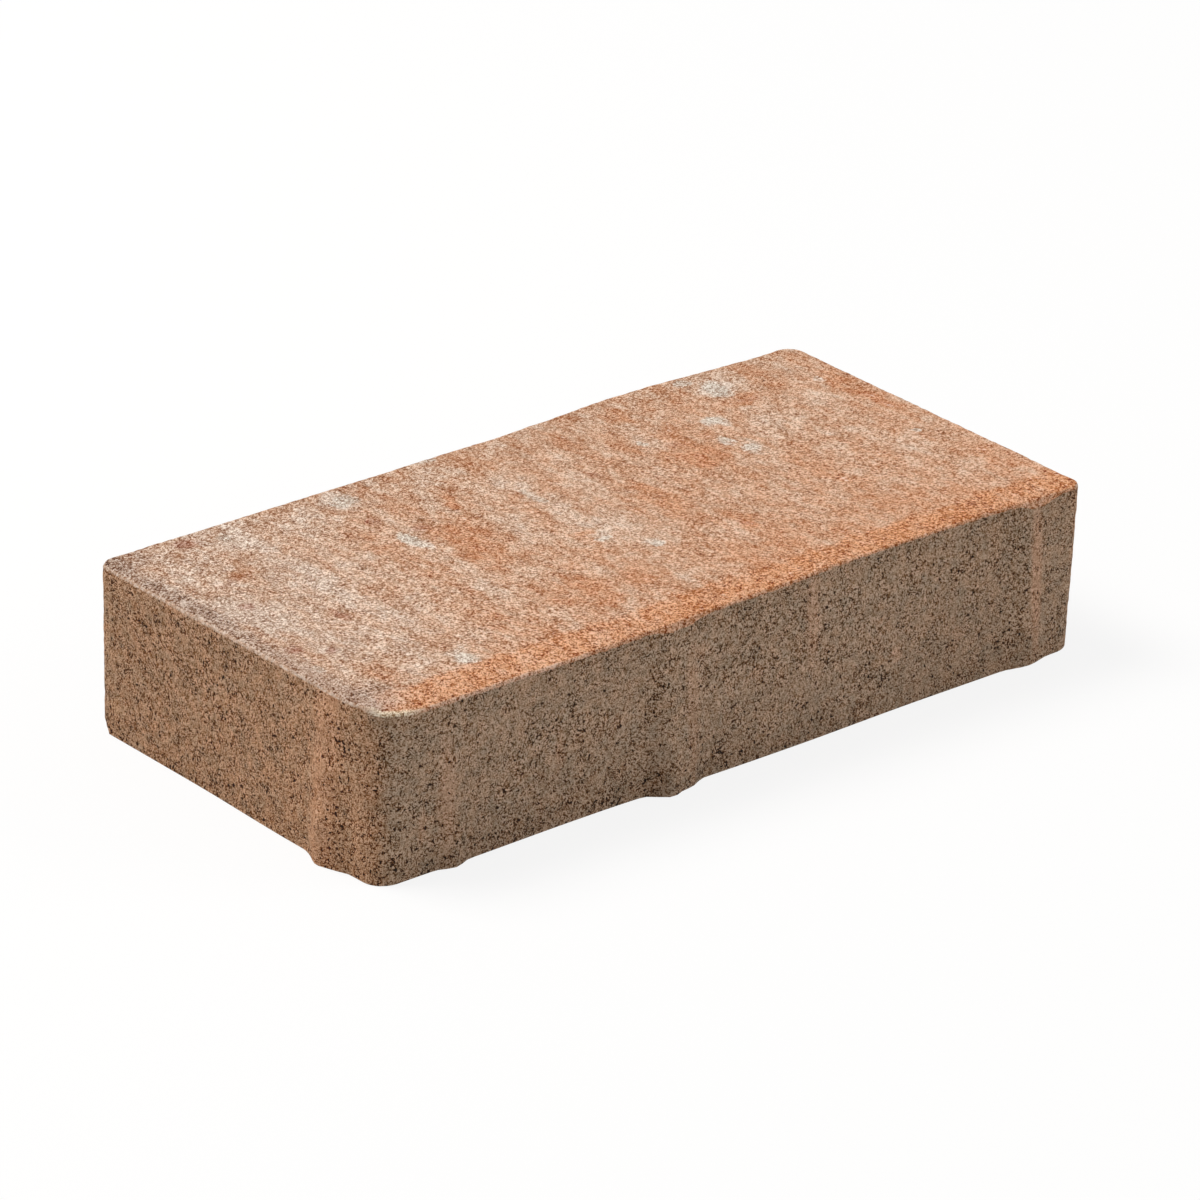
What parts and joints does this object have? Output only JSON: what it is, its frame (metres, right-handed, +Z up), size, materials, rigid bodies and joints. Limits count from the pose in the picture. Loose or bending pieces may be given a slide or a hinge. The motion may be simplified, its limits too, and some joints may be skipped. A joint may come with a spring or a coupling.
{
  "type": "concrete paving stone",
  "caption": "Rectangular concrete paving stone with a mottled top face, rounded upright corners, a fine arris bevel and tapered spacer ribs on its sides.",
  "frame": {"origin": "middle of the flat bedding face that the stone lies on", "axes": "+X along the stone's length, +Y across its width to the side away from the viewer, +Z up through the top face"},
  "size_m": [0.204, 0.106, 0.04],
  "materials": {
    "coloured_concrete": "matte"
  },
  "bodies": {
    "root": {"paving_stone": "coloured_concrete"}
  },
  "joints": []
}
